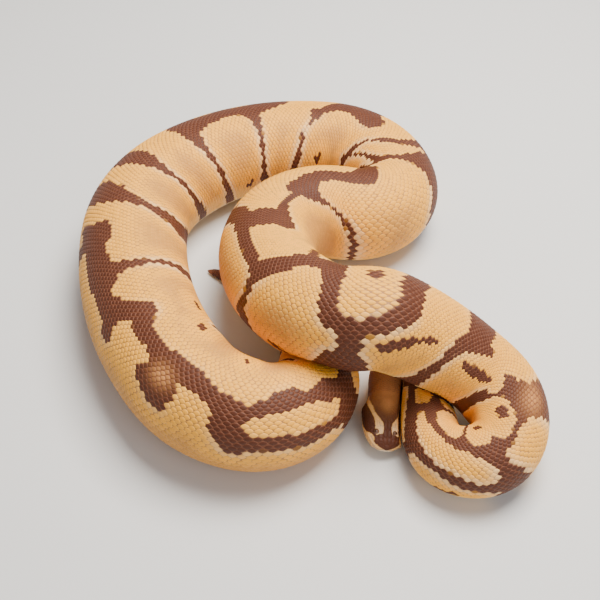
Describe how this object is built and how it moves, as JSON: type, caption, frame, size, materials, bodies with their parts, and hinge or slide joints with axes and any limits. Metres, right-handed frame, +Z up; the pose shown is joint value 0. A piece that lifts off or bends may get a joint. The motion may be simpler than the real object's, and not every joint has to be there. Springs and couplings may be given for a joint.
{
  "type": "coiled ball python",
  "caption": "Life-size ball python lying in loose coils, head low between two loops, one length of the trunk crossing over.",
  "frame": {"origin": "centre of the bounding box on the ground", "axes": "+Z up, ground at z = 0; the snout points towards -Y"},
  "size_m": [0.2828, 0.3201, 0.0969],
  "materials": {
    "body_skin": "dry satin scales, tan blotches on a chocolate network",
    "head_skin": "smooth head plates, dark brown with cream stripes",
    "jaw_skin": "smooth cream plates",
    "eye": "wet black"
  },
  "bodies": {
    "root": {"neck": "body_skin", "nape_turn": "body_skin", "small_curl_front": "body_skin", "small_curl_rear": "body_skin", "crossing": "body_skin", "inner_bend_near": "body_skin", "inner_bend_far": "body_skin", "far_hairpin": "body_skin", "far_leg": "body_skin", "far_arc": "body_skin", "left_side": "body_skin", "near_left": "body_skin", "near_turn": "body_skin", "hind_trunk": "body_skin", "tail": "body_skin", "head_upper": "head_skin", "lower_jaw": "jaw_skin", "eye_left": "eye", "eye_right": "eye"}
  },
  "joints": []
}
